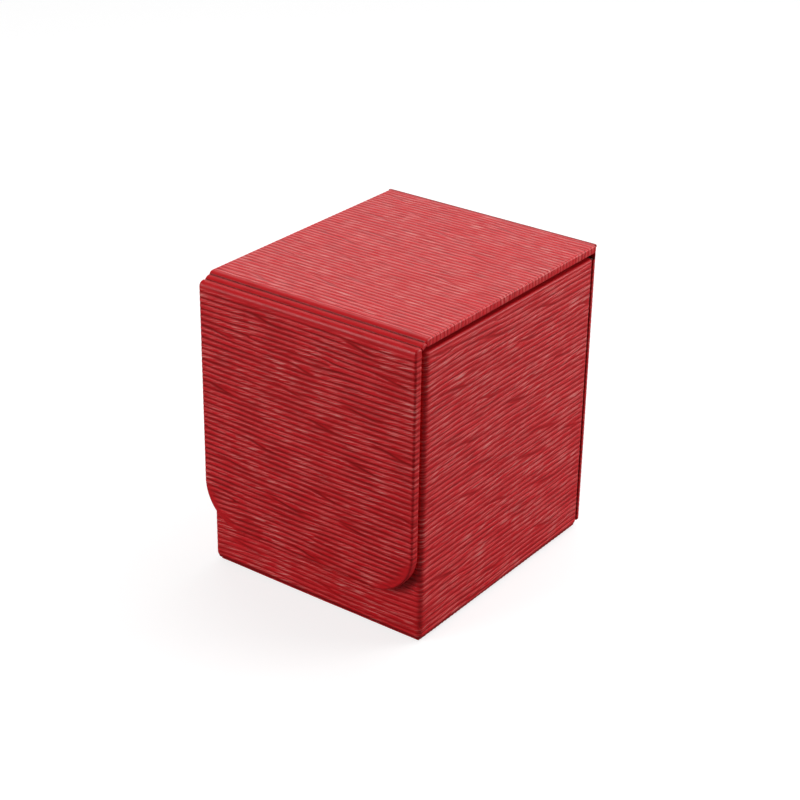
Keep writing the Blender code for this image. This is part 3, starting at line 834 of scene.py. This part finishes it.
def make_base_skin():
    """The ribbed sheet under the base."""
    x, y = np.meshgrid(steps(BASE_HIGH.x, BASE_LOW.x, COLUMN), steps(BASE_LOW.y, BASE_HIGH.y, ROW))
    rib = Ribs(*BASE_RIBS).height(x, y)
    points = np.stack([x, y, RIB_HEIGHT * (1 - rib)], -1).reshape(-1, 3)
    grain = np.stack([x, y, rib], -1).reshape(-1, 3)
    skin = make_skin("base_leather_skin", points, grid_faces(*x.shape), grain)
    sheet = thicken(skin, "base_leather", LEATHER - RIB_HEIGHT, 0.0)
    return show(sheet, "body", "ribbed_leather", "base_leather")


# ---------------------------------------------------------------- cloth

BOX_FACES = ((0, 2, 3, 1), (4, 5, 7, 6), (0, 1, 5, 4), (2, 6, 7, 3), (0, 4, 6, 2), (1, 3, 7, 5))


def make_cloth(cad_node, body, tucks=()):
    """A lining with its tucks: thin folds of the same cloth over the ends of the board behind it, each given
    as (lowest y, lowest z, highest y, highest z). No lining runs past the leather's turned border."""
    source = frame["nodes"][cad_node]
    points = np.array([source.matrix_world @ vertex.co for vertex in source.data.vertices])
    points[:, 0] = np.clip(points[:, 0], -HINGE_CLOTH_X, HINGE_CLOTH_X)
    faces = [tuple(polygon.vertices) for polygon in source.data.polygons]
    for low_y, low_z, high_y, high_z in tucks:
        sides = (-HINGE_CLOTH_X, HINGE_CLOTH_X)
        corners = [(x, y, z) for x in sides for y in (low_y, high_y) for z in (low_z, high_z)]
        faces += [tuple(len(points) + corner for corner in face) for face in BOX_FACES]
        points = np.concatenate([points, corners])
    mesh = bpy.data.meshes.new(cad_node + "_cloth")
    mesh.from_pydata(points.tolist(), [], faces)
    mesh.materials.append(CLOTH)
    piece = bpy.data.objects.new(cad_node + "_cloth", mesh)
    bpy.context.scene.collection.objects.link(piece)
    return show(piece, body, "microfibre", cad_node)


def make_cloths():
    """Linings of the lid, the flap, the rear crease and the strip. The body's five keep their CAD shapes."""
    fold = 0.0002
    under_lid = LID_HIGH.z - 0.0010
    lid_end = LID_BOARD_HIGH.y
    lid_front = LID_BOARD_LOW.y
    lid_cloth = LID_LINING_LOW.z
    lip = FIRST_CREASE.z - 0.0005
    make_cloth("lid_lining", "lid", (
        (lid_end, lid_cloth, lid_end + fold, under_lid + fold),
        (lid_end, under_lid, REAR_CREASE.y - LEATHER - 0.0001, under_lid + fold),
        (lid_front - fold, lid_cloth, lid_front, lip + fold),
        (FIRST_CREASE.y + GLUE, lip, lid_front, lip + fold),
    ))
    make_cloth("flap_lining", "flap", (
        (FLAP_BOARD_BACK, FLAP_LINING_TOP, SECOND_CREASE.y, FLAP_LINING_TOP + 2 * fold),
    ))
    board_top = SPINE_BOARD_HIGH.z
    cloth_low, cloth_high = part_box("rear_hinge_lining")
    make_cloth("rear_hinge_lining", "body", (
        (SPINE_BOARD_LOW.y + fold, board_top, cloth_high.y, board_top + fold),
        (cloth_high.y - fold, board_top, cloth_high.y, cloth_low.z),
    ))
    make_cloth("front_hinge_lining", "front_strip")


make_cloths()
make_base_skin()
make_flap_skin()
make_strip_skin()
make_lid_skin()
make_spine_skin()
make_body_skin()

SLOTS = {part["node"]: part["material_slot"] for part in frame["record"]["subparts"]}
for name, cad_node in frame["nodes"].items():
    cad_node.data.materials.clear()
    cad_node.data.materials.append(LOOKS[SLOTS[name]])


# ---------------------------------------------------------------- the studio

def make_camera():
    height = LID_HIGH.z
    azimuth, elevation, roll = (math.radians(a) for a in (CAMERA_AZIMUTH, CAMERA_ELEVATION, CAMERA_ROLL))
    back = Vector((math.sin(azimuth) * math.cos(elevation), -math.cos(azimuth) * math.cos(elevation),
                   math.sin(elevation)))
    level = Vector((math.cos(azimuth), math.sin(azimuth), 0))
    upright = back.cross(level)
    right = level * math.cos(roll) + upright * math.sin(roll)
    up = upright * math.cos(roll) - level * math.sin(roll)
    target = Vector((0, (BODY_LOW.y + BODY_HIGH.y) / 2, height / 2))
    data = bpy.data.cameras.new("camera")
    data.lens = CAMERA_LENS
    data.sensor_width = 36
    data.clip_start = 0.01
    data.clip_end = 50
    camera = bpy.data.objects.new("camera", data)
    rotation = Matrix((right, up, back)).transposed()
    place = target + height * (right * CAMERA_OFFSET[0] + up * CAMERA_OFFSET[1] + back * CAMERA_DISTANCE)
    camera.matrix_world = Matrix.Translation(place) @ rotation.to_4x4()
    bpy.context.scene.collection.objects.link(camera)
    bpy.context.scene.camera = camera


def make_light(name, place, size, watts):
    data = bpy.data.lights.new(name, "AREA")
    data.shape = "RECTANGLE"
    data.size, data.size_y = size
    data.energy = watts
    light = bpy.data.objects.new(name, data)
    light.location = place
    light.rotation_euler = (Vector(LIGHTS_AIM) - Vector(place)).to_track_quat("-Z", "Y").to_euler()
    bpy.context.scene.collection.objects.link(light)


def make_surroundings():
    """A dim room with soft bright walls behind the box and to its front left, dark on the camera's side."""
    world = bpy.data.worlds.new("studio")
    bpy.context.scene.world = world
    world.use_nodes = True
    tree = world.node_tree
    place = node(tree, "ShaderNodeTexCoord").outputs["Generated"]
    total = None
    for direction, inner, outer, strength in SOFT_WALLS:
        aim = Vector(direction).normalized()
        near = node(tree, "ShaderNodeVectorMath", {0: place, 1: aim}, operation="DOT_PRODUCT")
        wall = node(tree, "ShaderNodeMapRange", {
            "Value": near.outputs["Value"],
            "From Min": math.cos(math.radians(outer)), "From Max": math.cos(math.radians(inner)),
            "To Min": 0.0, "To Max": strength,
        }, interpolation_type="SMOOTHSTEP").outputs["Result"]
        total = wall if total is None else node(tree, "ShaderNodeMath", {0: total, 1: wall}).outputs["Value"]
    total = node(tree, "ShaderNodeMath", {0: total, 1: ROOM_LIGHT}).outputs["Value"]
    tree.links.new(total, tree.nodes["Background"].inputs["Strength"])
    tree.nodes["Background"].inputs["Color"].default_value = (1, 1, 1, 1)


def make_floor():
    """Paper that is white to the camera and grey to the box, so that it throws little light up."""
    bpy.ops.mesh.primitive_plane_add(size=FLOOR_SIZE, location=(0, 0, 0))
    floor = bpy.context.object
    floor.name = "floor"
    material, tree, shader = tree_of("floor_paper")
    seen = node(tree, "ShaderNodeLightPath").outputs["Is Camera Ray"]
    paper = mix_color(tree, noise(tree, 2.0, 2.0), (0.38, 0.38, 0.38, 1), (0.42, 0.42, 0.42, 1))
    color = mix_color(tree, seen, (0.16, 0.16, 0.16, 1), paper)
    tree.links.new(color, shader.inputs["Base Color"])
    shader.inputs["Roughness"].default_value = 0.9
    shader.inputs["Emission Color"].default_value = (1, 1, 1, 1)
    tree.links.new(scaled(tree, seen, 0, 1, 0, FLOOR_GLOW), shader.inputs["Emission Strength"])
    floor.data.materials.append(material)


def make_studio():
    make_surroundings()
    make_floor()
    for light in LIGHTS:
        make_light(*light)
    bpy.context.scene.view_settings.view_transform = "Standard"


make_camera()
make_studio()
